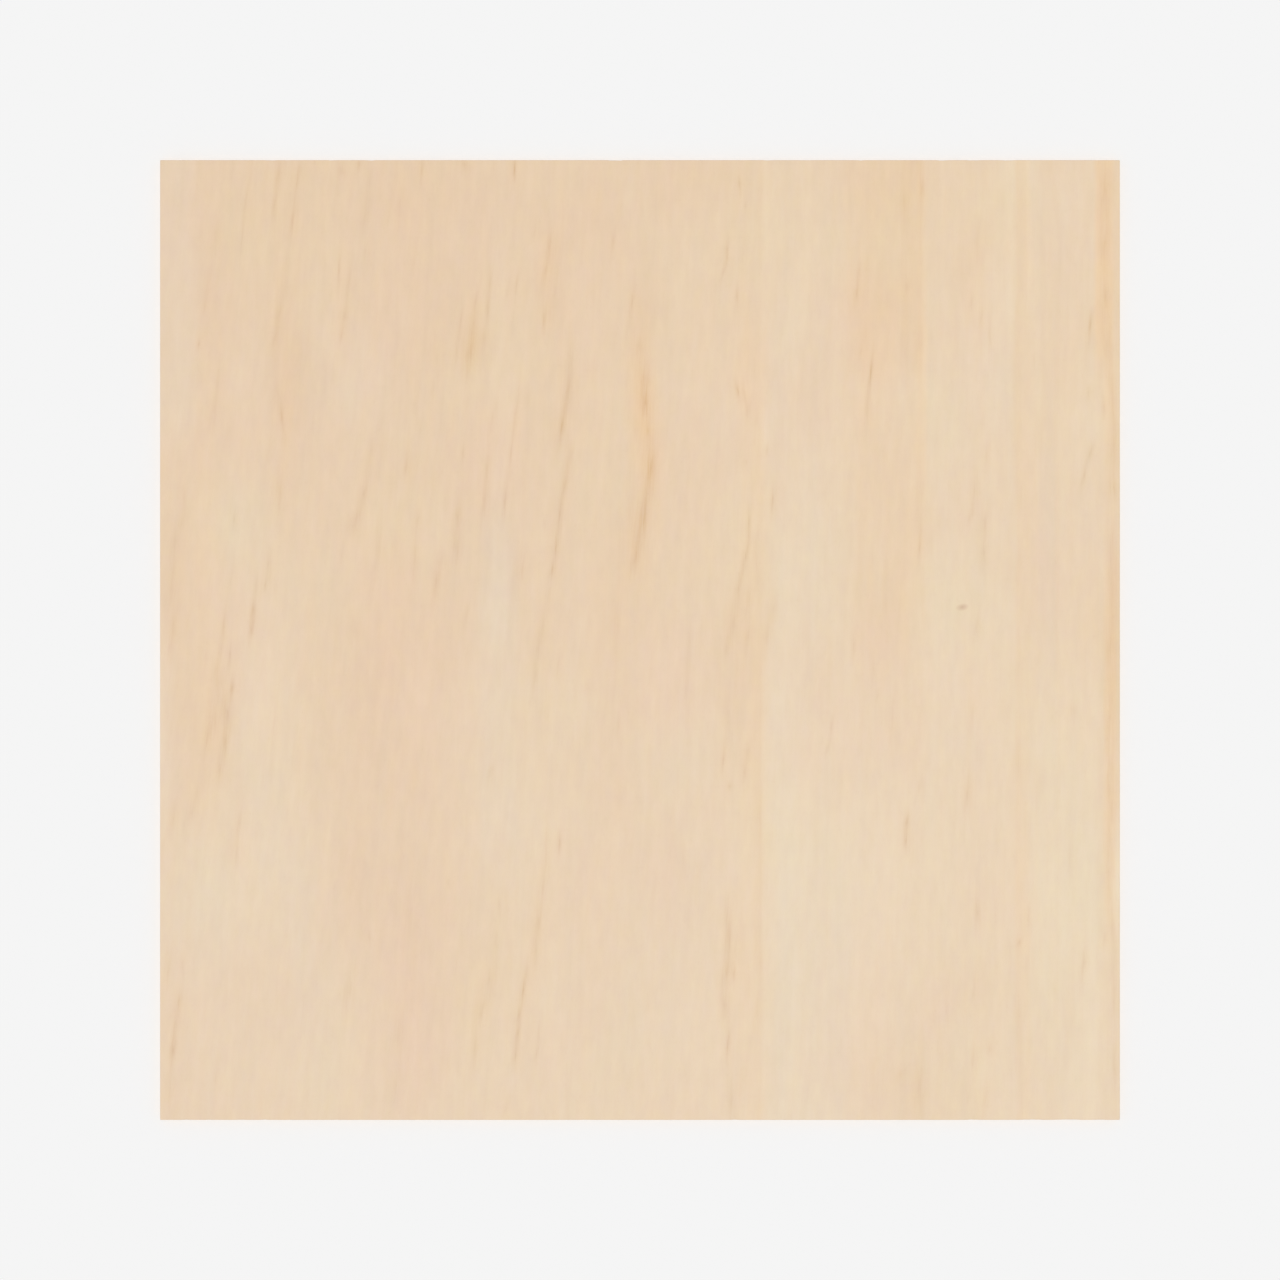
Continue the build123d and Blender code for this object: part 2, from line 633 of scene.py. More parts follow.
    (5, 6, (990, 1042), (989, 1056)),
    (6, 4, (1071, 838), (1069, 876)),
    (6, 7.5, (1086, 946), (1082, 984)),
    (4, 8, (1105, 930), (1103, 948)),
    (6, 3, (871, 990), (867, 1018)),
)
FAINT_FLECK_SHARE = 0.68  # a faint fleck is drawn fainter than its tone
DARK_FLECK_GAIN = 0.05  # and a dark one darker, by so much to the level
FIBRE_IN_FLECK = 1.8  # how far fibres and fine fibres break a fleck up, and the gaps that they leave
FINE_FIBRE_IN_FLECK = 1.6
FLECK_GAPS = 0.55
FLECK_GREYER = 0.2  # the brown of a fleck is greyer than that of a patch
LEAST_HALO_TONE = 5  # fainter flecks have no halo to speak of
HALO_REACH_PX = 13
HALO_SHIFT_MM = 0.6  # it lies a little to the right of the fleck
HALO_TONE = 0.06  # its darkness and its orange, as shares of the fleck's tone
HALO_ORANGE = 0.11
FLECK_SPREAD_SHARE = 1.15  # a fleck fades out over more than its own width
FLECK_OVERRUN_SHARE = 2.3  # each run is drawn longer than it is, so that runs in line flow together

# How the figure strays from straight grain
GRAIN_LEAN = 0.05  # how far the fine fibres lean at mid width; more to the left, none at the right edge
GRAIN_WANDER_MM = 1.2
RAGGED_MM = 0.5
PATCH_WANDER_MM = 6

# The one pin knot: centre, half width, half length, tone
PIN_KNOT_PX = (962.4, 607.2, 7, 4, 27)
KNOT_LEAN = -0.18  # its right end is the higher one
KNOT_GREYER = 8
KNOT_PINKER = 4

# Places on the near edge where the arris is worn: ends along the edge
WORN_ARRIS_PX = ((1018, 1044), (1053, 1081), (1092, 1107))

# The mesh
ACROSS_STEP_MM = 0.75
ALONG_STEP_MM = 5.0
EDGE_STEP_MM = 1.25
HOLD_MM = 0.35
ARC_STEPS = 4
CORNER_STEPS = 4
FACE_PLY_ROWS = 4
CORE_HALF_ROWS = 3
GLUE_GROOVE_MM = 0.008
GLUE_HALF_WIDTH_MM = 0.06
END_GRAIN_FUZZ_MM = 0.025
LONG_GRAIN_WAVE_MM = 0.025
WAVE_REACH = 14  # in points along the edge
FLECK_HOLLOW_MM = 0.05
FULL_HOLLOW_TONE = 16
FIBRE_RIDGE_MM = 0.015
RIDGE_TURN_PER_MM = (0.02, 0.12)
WORN_DEPTH_MM = 0.2
CHIPS_PER_ARRIS = 14
CHIP_HALF_MM = (0.6, 2.2)
CHIP_DEPTH_SHARE = (0.3, 0.9)
TORN_SHARE = (0.45, 1)
CORNER_RELIEF_SHARE = 0.3
LEAST_REACH_MM = 0.02  # the eased arris never comes nearer to the flat face than this
SAME_PLACE_MM = 1e-6
GRAIN_SEED = 11

# The finishes, by their place in the mesh's list. The good face is finished in leaves, so that each one
# works out only its own part of the figure
LEAVES_ACROSS = 8
LEAVES_ALONG = 4
LEAVES = LEAVES_ACROSS * LEAVES_ALONG
GOOD_FACE = 0
BACK_FACE, SIDE_EDGE, END_EDGE = range(LEAVES, LEAVES + 3)

# Where each side lies in the map that finishes are baked to: lowest and highest share of its height
BAKE_MAP = "OFBake"
BAKE_MARGIN = 0.008
FLAT_SPANS = {GOOD_FACE: (0.505, 0.992), BACK_FACE: (0.135, 0.495)}
EDGE_MAP_STEP = 0.031
EDGE_MAP_HEIGHT = 0.026
EDGE_LOWS = [BAKE_MARGIN + EDGE_MAP_STEP * side for side in range(SIDES)]
EDGE_SPANS = [(low, low + EDGE_MAP_HEIGHT) for low in EDGE_LOWS]


def face_x_mm(pixel):
    """Place across the face of a column of the photograph."""
    return (pixel - PHOTO_MIDDLE_PX) * PX_MM


def face_y_mm(pixel):
    """Place along the face of a row of the photograph."""
    return (PHOTO_MIDDLE_PX - pixel) * PX_MM


def linear(colour):
    """A 0 to 255 colour as the light that it stands for."""
    shares = [level / 255 for level in colour]
    return tuple(s / 12.92 if s <= 0.04045 else ((s + 0.055) / 1.055) ** 2.4 for s in shares)


def ellipse_mm(top, low, half_width_px, half_length_px):
    """The ellipse along a line between two points: lean, then centre, half width and half length in mm."""
    (top_x, top_y), (low_x, low_y) = top, low
    lean = math.atan2(top_x - low_x, low_y - top_y)
    centre = face_x_mm((top_x + low_x) / 2), face_y_mm((top_y + low_y) / 2)
    return lean, *centre, half_width_px * PX_MM, half_length_px * PX_MM


def fleck_runs():
    """Each straight run of each fleck, as an ellipse, and its tone."""
    for width, tone, *points in FLECKS_PX:
        for top, low in zip(points, points[1:]):
            half_length = FLECK_OVERRUN_SHARE * (low[1] - top[1]) / 2
            yield *ellipse_mm(top, low, FLECK_SPREAD_SHARE * width, half_length), tone


def fleck_halos():
    """The soft halo around each whole fleck, as an ellipse, and the tone of the fleck."""
    for _, tone, *points in FLECKS_PX:
        if tone >= LEAST_HALO_TONE:
            half_length = (points[-1][1] - points[0][1]) / 2 + HALO_REACH_PX
            yield *ellipse_mm(points[0], points[-1], HALO_REACH_PX, half_length), tone


class Value:
    """A number, colour or vector in a shader. Sums written with it add Math nodes."""

    def __init__(self, nodes, node, out=0):
        self.nodes = nodes
        self.node = node
        self.socket = node.outputs[out]

    def output(self, out):
        """Another output of the same node."""
        return Value(self.nodes, self.node, out)

    def math(self, operation, first, second):
        return self.nodes.add("Math", {"operation": operation}, {0: first, 1: second})

    def __add__(self, other):
        return self.math("ADD", self, other)

    def __radd__(self, other):
        return self.math("ADD", other, self)

    def __sub__(self, other):
        return self.math("SUBTRACT", self, other)

    def __rsub__(self, other):
        return self.math("SUBTRACT", other, self)

    def __mul__(self, other):
        return self.math("MULTIPLY", self, other)

    def __rmul__(self, other):
        return self.math("MULTIPLY", other, self)


class Nodes:
    """The node tree of a material or of the world."""

    def __init__(self, owner):
        owner.use_nodes = True
        self.tree = owner.node_tree
        self.tree.nodes.clear()

    def add(self, kind, settings=None, sockets=None, out=0):
        """Adds a node, sets it up, fills or links its sockets, and returns one of its outputs."""
        node = self.tree.nodes.new("ShaderNode" + kind)
        for name, setting in (settings or {}).items():
            if name == "stops":
                self.set_stops(node.color_ramp.elements, setting)
            elif isinstance(setting, dict):
                for part, part_setting in setting.items():
                    setattr(getattr(node, name), part, part_setting)
            else:
                setattr(node, name, setting)
        for key, value in (sockets or {}).items():
            if isinstance(value, Value):
                self.tree.links.new(value.socket, node.inputs[key])
            else:
                node.inputs[key].default_value = value
        return Value(self, node, out) if node.outputs else node

    @staticmethod
    def set_stops(elements, stops):
        """Gives a colour ramp its stops, each a place from 0 to 1 and a colour."""
        while len(elements) < len(stops):
            elements.new(1)
        for element, (position, colour) in zip(elements, stops):
            element.position = position
            element.color = (*colour, 1)

    def place_mm(self):
        """Where a point of the sheet is, in mm."""
        place = self.add("TexCoord", out="Object")
        return self.add("VectorMath", {"operation": "SCALE"}, {0: place, "Scale": 1 / MM})

    def split(self, vector):
        """The three parts of a vector."""
        parts = self.add("SeparateXYZ", sockets={0: vector})
        return parts, parts.output(1), parts.output(2)

    def join(self, x, y, z=0):
        """A vector from its parts."""
        return self.add("CombineXYZ", sockets={0: x, 1: y, 2: z})

    def noise(self, vector, per_mm, detail=2, roughness=0.5, start=0):
        """Smooth noise from 0 to 1, with so many features to the mm each way, two ways or three."""
        across, along, *up = per_mm
        scaling = {0: vector, 1: (across, along, *(up or [0])), 2: (start, start, start)}
        stretched = self.add("VectorMath", {"operation": "MULTIPLY_ADD"}, scaling)
        sockets = {"Vector": stretched, "Scale": 1, "Detail": detail, "Roughness": roughness}
        return self.add("TexNoise", {"noise_dimensions": f"{len(per_mm)}D"}, sockets)

    def step(self, value, start, end):
        """0 before start and 1 after end, with a smooth rise between them."""
        settings = {"interpolation_type": "SMOOTHSTEP", "clamp": True}
        return self.add("MapRange", settings, {0: value, 1: start, 2: end, 3: 0, 4: 1})

    def blot(self, vector, centre_x, centre_y, half_width, half_length, lean=0, fall="SPHERICAL"):
        """1 at the centre of an ellipse that leans to the right, falling to 0 at its rim."""
        where = {
            "vector_type": "TEXTURE",
            "translation": (centre_x, centre_y, 0),
            "rotation": (0, 0, -lean),
            "scale": (half_width, half_length, 1),
        }
        return self.add("TexGradient", {"gradient_type": fall, "texture_mapping": where}, {0: vector}, out=1)

    def plus_times(self, total, value, times):
        """A running total with a value added to it so many times over, in one node."""
        return self.add("Math", {"operation": "MULTIPLY_ADD"}, {0: value, 1: times, 2: total})

    def mixed(self, share, first, second):
        """A colour between two colours."""
        settings = {"data_type": "RGBA", "clamp_factor": True}
        return self.add("Mix", settings, {0: share, 6: first, 7: second}, out=2)

    def ramp(self, value, low, high, stops):
        """A colour picked by where a value lies between low and high."""
        share = self.add("MapRange", {"clamp": True}, {0: value, 1: low, 2: high, 3: 0, 4: 1})
        places = [((level - low) / (high - low), colour) for level, colour in stops]
        return self.add("ValToRGB", {"stops": places}, {0: share})

    def surface(self, colour, roughness, height, bump_mm):
        """The bare wood shader and the material's output."""
        sockets = {"Height": height, "Strength": BUMP_STRENGTH, "Distance": bump_mm * MM}
        normal = self.add("Bump", sockets=sockets)
        sockets = {"Base Color": colour, "Roughness": roughness, "Normal": normal}
        wood = self.add("BsdfPrincipled", sockets=sockets)
        self.add("OutputMaterial", sockets={0: wood})


def strip_tone(nodes, x, y, left, right, left_soft, right_soft, tone, top=None, bottom=None, end_soft=None):
    """The tone of one straight strip of the veneer."""
    shade = nodes.step(x, face_x_mm(left - left_soft / 2), face_x_mm(left + left_soft / 2)) * tone
    shade = shade * nodes.step(x, face_x_mm(right + right_soft / 2), face_x_mm(right - right_soft / 2))
    if top is not None:
        shade = shade * nodes.step(y, face_y_mm(top - end_soft / 2), face_y_mm(top + end_soft / 2))
        shade = shade * nodes.step(y, face_y_mm(bottom + end_soft / 2), face_y_mm(bottom - end_soft / 2))
    return shade


def veneer_colour(nodes, tone):
    """The colour of pale veneer that is so many levels darker than the mean."""
    seen = ((PALE_TONE, PALE_COLOUR), (0, MEAN_COLOUR), (DARK_TONE, DARK_COLOUR))
    stops = [(level, [light - SHEEN for light in linear(colour)]) for level, colour in seen]
    return nodes.ramp(tone, PALE_TONE, DARK_TONE, stops)


def shifted(nodes, colour, amount, levels):
    """The colour moved by so many levels of red, green and blue, times an amount."""
    moved = [mean + level for mean, level in zip(MEAN_COLOUR, levels)]
    shift = [after - before for after, before in zip(linear(moved), linear(MEAN_COLOUR))]
    return nodes.add("VectorMath", {"operation": "MULTIPLY_ADD"}, {0: amount, 1: shift, 2: colour})


class Leaf:
    """One leaf of the good face, and what part of the figure shows on it."""

    def __init__(self, number):
        row, column = divmod(number, LEAVES_ACROSS)
        self.half_x = HALF_WIDTH_MM / LEAVES_ACROSS
        self.half_y = HALF_LENGTH_MM / LEAVES_ALONG
        self.middle_x = (2 * column + 1) * self.half_x - HALF_WIDTH_MM
        self.middle_y = (2 * row + 1) * self.half_y - HALF_LENGTH_MM

    def shows(self, x, y, reach_x, reach_y):
        """Whether a feature that reaches so far from its centre shows on this leaf."""
        stray_x = (GRAIN_WANDER_MM + RAGGED_MM + ACROSS_STEP_MM) / 2
        stray_y = ALONG_STEP_MM / 2
        beside = abs(x - self.middle_x) < self.half_x + reach_x + stray_x
        return beside and abs(y - self.middle_y) < self.half_y + reach_y + stray_y

    def strips(self, strips):
        """The strips that show. One that gives no ends runs the length of the face."""
        for strip in strips:
            left, right, left_soft, right_soft, _, *ends = strip
            top, bottom, end_soft = ends or (0, PHOTO_PX, 0)
            centre = (face_x_mm((left + right) / 2), face_y_mm((top + bottom) / 2))
            soft = max(left_soft, right_soft, end_soft)
            if self.shows(*centre, (right - left + soft) / 2 * PX_MM, (bottom - top + soft) / 2 * PX_MM):
                yield strip

    def patches(self, patches):
        """The centre in mm, the half sizes in mm and the amount of each patch that shows."""
        for centre_x, centre_y, half_width, half_length, amount in patches:
            centre = (face_x_mm(centre_x), face_y_mm(centre_y))
            sizes = (half_width * PX_MM, half_length * PX_MM)
            if self.shows(*centre, sizes[0] + PATCH_WANDER_MM / 2, sizes[1]):
                yield *centre, *sizes, amount

    def flecks(self, ellipses):
        """The leaning ellipses that show, of flecks or of their halos."""
        for ellipse in ellipses:
            lean, centre_x, centre_y, half_width, half_length, _ = ellipse
            if self.shows(centre_x, centre_y, half_width + half_length * abs(math.sin(lean)), half_length):
                yield ellipse


def fine_grain(nodes, place):
    """The finest fibres of sanded veneer, and its pores, which are thin dashes. Both run from 0 to 1."""
    fine_fibre = nodes.noise(place, (6, 0.12), 2, 0.6)
    pores = nodes.step(nodes.noise(place, (11, 0.6), 1, 0.5, start=7), 0.6, 0.8)
    return fine_fibre, pores


def good_face(number):
    """Sanded veneer with the figure that the photograph shows, for one leaf of the face."""
    material = bpy.data.materials.new(f"good_face_veneer_{number + 1}")
    nodes = Nodes(material)
    leaf = Leaf(number)
    place = nodes.place_mm()
    x, y, _ = nodes.split(place)

    # The grain wanders a little, and ragged fibres break the outline of each fleck
    wander = nodes.noise(place, (0.05, 0.02)) - 0.5
    ragged = nodes.noise(place, (0.9, 0.11), 4, 0.6) - 0.5
    grain_x = x + wander * GRAIN_WANDER_MM + ragged * RAGGED_MM
    grain_place = nodes.join(grain_x, y)
    halo_place = nodes.join(x - HALO_SHIFT_MM, y)
    patch_wander = nodes.noise(place, (0.06, 0.03), start=5) - 0.5
    patch_place = nodes.join(grain_x + patch_wander * PATCH_WANDER_MM, y)

    def with_strips(total, strips, times):
        for strip in leaf.strips(strips):
            total = nodes.plus_times(total, strip_tone(nodes, grain_x, y, *strip), times)
        return total

    def with_patches(total, patches):
        for *where, amount in leaf.patches(patches):
            total = nodes.plus_times(total, nodes.blot(patch_place, *where), amount)
        return total

    # Strips that come and go, broad patches and brown flecks, each as so many levels darker or paler
    strength = nodes.noise(place, (0.08, 0.012), start=9) * 2
    tone = x * (TONE_DRIFT_RIGHT / HALF_WIDTH_MM) + y * (-TONE_DRIFT_DOWN / HALF_LENGTH_MM)
    tone = with_patches(with_strips(tone, STRIPS_PX, strength), PATCHES_PX)
    flecks = 0
    for lean, *where, dark in leaf.flecks(fleck_runs()):
        blot = nodes.blot(grain_place, *where, lean, "QUADRATIC_SPHERE")
        flecks = nodes.plus_times(flecks, blot, dark)
    halos = 0
    for lean, *where, dark in leaf.flecks(fleck_halos()):
        halos = nodes.plus_times(halos, nodes.blot(halo_place, *where, lean), dark)
    knot_x, knot_y, knot_half_width, knot_half_length, knot_tone = PIN_KNOT_PX
    knot_sizes = (knot_half_width * PX_MM, knot_half_length * PX_MM)
    knot = nodes.blot(nodes.join(x, y), face_x_mm(knot_x), face_y_mm(knot_y), *knot_sizes, KNOT_LEAN)

    # Fibres of the wood itself, from a few mm across down to pores
    grain_lean = GRAIN_LEAN - x * (GRAIN_LEAN / HALF_WIDTH_MM)
    along_grain = nodes.join(grain_x - grain_lean * y, y)
    along_fine_grain = nodes.join(x - grain_lean * y, y)
    cloud = nodes.noise(place, (0.035, 0.02), start=15) - 0.5
    streaks = nodes.noise(along_grain, (0.16, 0.02), start=24) - 0.5
    small_flecks = nodes.noise(along_grain, (0.45, 0.07), start=3) - 0.5
    mottle = nodes.noise(place, (0.3, 0.15), start=31) - 0.5
    blush = nodes.noise(place, (0.26, 0.17), start=37) - 0.5
    fibre = nodes.noise(along_grain, (1.5, 0.08), 3, 0.6)
    fine_fibre, pores = fine_grain(nodes, along_fine_grain)
    flecks = flecks * (FAINT_FLECK_SHARE + DARK_FLECK_GAIN * flecks)
    tone = tone + flecks * (FIBRE_IN_FLECK * fibre + FINE_FIBRE_IN_FLECK * fine_fibre - FLECK_GAPS)
    tone = tone + knot * knot_tone + halos * HALO_TONE
    tone = tone + small_flecks * SMALL_FLECK_TONE + streaks * STREAK_TONE
    tone = tone + cloud * CLOUD_TONE + mottle * MOTTLE_TONE
    tone = tone + (fibre - 0.5) * FIBRE_TONE + (fine_fibre - 0.5) * FINE_FIBRE_TONE + pores * PORE_TONE

    # Hue: greyer or more orange, then pinker or yellower
    greyer = x * (GREYER_DRIFT_RIGHT / HALF_WIDTH_MM) + y * (-GREYER_DRIFT_DOWN / HALF_LENGTH_MM)
    greyer = greyer + streaks * STREAK_GREYER + flecks * FLECK_GREYER + knot * KNOT_GREYER
    greyer = greyer - halos * HALO_ORANGE + mottle * MOTTLE_GREYER + blush * BLUSH_GREYER
    greyer = with_patches(with_strips(greyer, GREYER_STRIPS_PX, strength), GREYER_PX)
    colour = shifted(nodes, veneer_colour(nodes, tone), greyer, GREYER_SHIFT)
    pinker = x * (PINKER_DRIFT_RIGHT / HALF_WIDTH_MM) + cloud * CLOUD_PINKER + blush * BLUSH_PINKER
    pinker = with_patches(pinker + knot * KNOT_PINKER, PINKER_PX)
    colour = shifted(nodes, colour, pinker, PINKER_SHIFT)
    nodes.surface(colour, FACE_ROUGHNESS - FIBRE_GLOSS * fine_fibre, fine_fibre - pores, FACE_BUMP_MM)
    return material


def back_face():
    """Plainer veneer of the same kind, with faint bands and no flecks to speak of."""
    material = bpy.data.materials.new("back_veneer")
    nodes = Nodes(material)
    place = nodes.place_mm()
    bands = nodes.noise(place, (0.07, 0.004), 3, 0.55) - 0.5
    streaks = nodes.noise(place, (0.5, 0.03), 3, 0.6, start=2) - 0.5
    flecks = nodes.step(nodes.noise(place, (0.4, 0.035), start=7), 0.66, 0.82)
    fibre = nodes.noise(place, (1.5, 0.05), 3, 0.6)
    fine_fibre, pores = fine_grain(nodes, place)
    tone = BACK_TONE + bands * BACK_BAND_TONE + streaks * BACK_STREAK_TONE + flecks * BACK_FLECK_TONE
    tone = tone + (fibre - 0.5) * BACK_FIBRE_TONE + (fine_fibre - 0.5) * BACK_FINE_FIBRE_TONE
    tone = tone + pores * PORE_TONE
    colour = shifted(nodes, veneer_colour(nodes, tone), bands * BACK_BAND_GREYER, GREYER_SHIFT)
    nodes.surface(colour, BACK_ROUGHNESS - FIBRE_GLOSS * fine_fibre, fine_fibre - pores, BACK_BUMP_MM)
    return material


def sawn_edge(name, core_shows_end_grain):
    """Three plies in section, with a thin broken line of glue between them and faint marks of the saw."""
    material = bpy.data.materials.new(name)
    nodes = Nodes(material)
    place = nodes.place_mm()
    _, _, z = nodes.split(place)
    wander = nodes.noise(place, (0.1, 0.1, 0)) - 0.5
    ragged = nodes.noise(place, (4, 4, 0), start=6) - 0.5
    level = z + wander * PLY_WANDER_MM + ragged * PLY_RAGGED_MM

    # Which ply a point is in, and whether the ply is cut across its fibres
    lower_glue, upper_glue = GLUE_LINES_MM
    core = nodes.step(level, lower_glue - PLY_SOFT_MM, lower_glue + PLY_SOFT_MM)
    core = core * nodes.step(level, upper_glue + PLY_SOFT_MM, upper_glue - PLY_SOFT_MM)
    end_grain = core if core_shows_end_grain else 1 - core

    # Plies cut along the grain have fine lines, and pores that are thin dashes
    lines = nodes.noise(place, (0.14, 0.14, 11), 3, 0.65)
    dashes = nodes.step(nodes.noise(place, (0.8, 0.8, 22), 1, 0.5, start=3), 0.58, 0.74)
    long_grain_tone = (lines - 0.5) * LINE_TONE + dashes * DASH_TONE

    # Plies cut across it are darker, with upright rays, soft rings and pores that are dots
    rays = nodes.noise(place, (8, 8, 0.8), 2, 0.6, start=4) - 0.5
    rings = nodes.noise(place, (0.3, 0.3, 4), 2, 0.6, start=12) - 0.5
    pores = nodes.step(nodes.noise(place, (20, 20, 18), 1, 0.5), 0.56, 0.7)
    end_grain_tone = END_GRAIN_TONE + rays * RAY_TONE + rings * RING_TONE + pores * END_PORE_TONE
    saw_marks = nodes.noise(place, (2.2, 2.2, 0.12), 2, 0.6, start=11) - 0.5
    tone = EDGE_TONE + saw_marks * SAW_MARK_TONE + long_grain_tone
    tone = tone + end_grain * (end_grain_tone - long_grain_tone)
    wood = veneer_colour(nodes, tone)

    glue = 0
    for line in GLUE_LINES_MM:
        away = nodes.add("Math", {"operation": "ABSOLUTE"}, {0: level - line})
        glue = nodes.step(away, GLUE_FADE_MM, GLUE_CORE_MM) + glue
    broken = nodes.noise(place, (0.9, 0.9, 2), 3, 0.65, start=8)
    glue = glue * (GLUE_SHOWS * broken - GLUE_GAPS)
    colour = nodes.mixed(glue, wood, (*linear(GLUE_COLOUR), 1))
    height = lines + saw_marks + rays * end_grain - pores * end_grain
    nodes.surface(colour, EDGE_ROUGHNESS - LINE_GLOSS * lines, height, EDGE_BUMP_MM)
    return material


def places(low, high, step):
    """Places from low to high about a step apart, with one close to each end to hold the flat."""
    count = round((high - low - 2 * HOLD_MM) / step)
    inner = np.linspace(low + HOLD_MM, high - HOLD_MM, count + 1)
    return np.concatenate(([low], inner, [high]))


def smoothed(values, reach):
    """Noise smoothed along its last axis and stretched to run from 0 to 1."""
    kernel = np.hanning(reach + 2)
    rows = [np.convolve(np.pad(row, reach, "wrap"), kernel, "same")[reach:-reach] for row in values]
    rows = np.array(rows)
    return (rows - rows.min()) / (rows.max() - rows.min())


def fleck_depth(x, y):
    """How dark the flecks are at points of the face, from 0 to 1."""
    depth = np.zeros_like(x)
    for lean, centre_x, centre_y, half_width, half_length, tone in fleck_runs():
        across = (x - centre_x) * math.cos(lean) - (y - centre_y) * math.sin(lean)
        along = (x - centre_x) * math.sin(lean) + (y - centre_y) * math.cos(lean)
        inside = np.clip(1 - np.hypot(across / half_width, along / half_length), 0, 1)
        depth += tone / FULL_HOLLOW_TONE * inside**2
    return np.clip(depth, 0, 1)


def map_across(share):
    """Where a share of a side's width lies across the map."""
    return BAKE_MARGIN + share * (1 - 2 * BAKE_MARGIN)


def section_rows():
    """How far in, and how high, each row of the edge lies, from the good face down to the back."""
    arris = []
    for step in range(1, ARC_STEPS + 1):
        turned = math.radians(90 * step / ARC_STEPS)
        inset = EASED_EDGE_MM * (1 - math.sin(turned))
        arris.append((inset, THICK_MM - EASED_EDGE_MM * (1 - math.cos(turned))))
    glue = GLUE_LINES_MM[-1]
    face_ply = np.linspace(THICK_MM - EASED_EDGE_MM, glue + GLUE_HALF_WIDTH_MM, FACE_PLY_ROWS + 1)[1:]
    core_half = np.linspace(glue - GLUE_HALF_WIDTH_MM, THICK_MM / 2, CORE_HALF_ROWS + 1)[:-1]
    upper = arris + [(0, height) for height in (*face_ply, glue, *core_half)]
    lower = [(inset, THICK_MM - height) for inset, height in reversed(upper)]
    return np.array(upper + [(0, THICK_MM / 2)] + lower)


def no_hollow(x, y):
    """A side with no hollows in it."""
    return np.zeros_like(x)


class EdgeMap:
    """Where points of the edges lie in the bake map: in four strips that meet halfway round each corner."""

    def __init__(self, outer, side, turn, rows):
        steps = np.hypot(*(np.roll(outer, -1, axis=0) - outer).T)
        self.travelled = np.concatenate(([0], np.cumsum(steps)))
        corner = steps[turn > 0].sum() / SIDES * CORNER_STEPS / (CORNER_STEPS - 1)
        starts = [self.travelled[list(side).index(number)] - corner / 2 for number in range(SIDES)]
        self.starts = [*starts, starts[0] + self.travelled[-1]]
        self.strips = [int(strip) for strip in side + (turn >= CORNER_STEPS / 2)]
        section = np.vstack(((EASED_EDGE_MM, THICK_MM), rows, (EASED_EDGE_MM, 0)))
        down = np.concatenate(([0], np.cumsum(np.hypot(*np.diff(section, axis=0).T))))
        self.down = down / down[-1]

    def spot(self, strip, station, line):
        """The spot in a strip for a station round the sheet, on a line down the edge."""
        bottom, top = EDGE_SPANS[strip % SIDES]
        length = WIDTH_MM if strip % 2 == 0 else LENGTH_MM
        share = (self.travelled[station] - self.starts[strip]) / length
        return map_across(share), top - self.down[line] * (top - bottom)


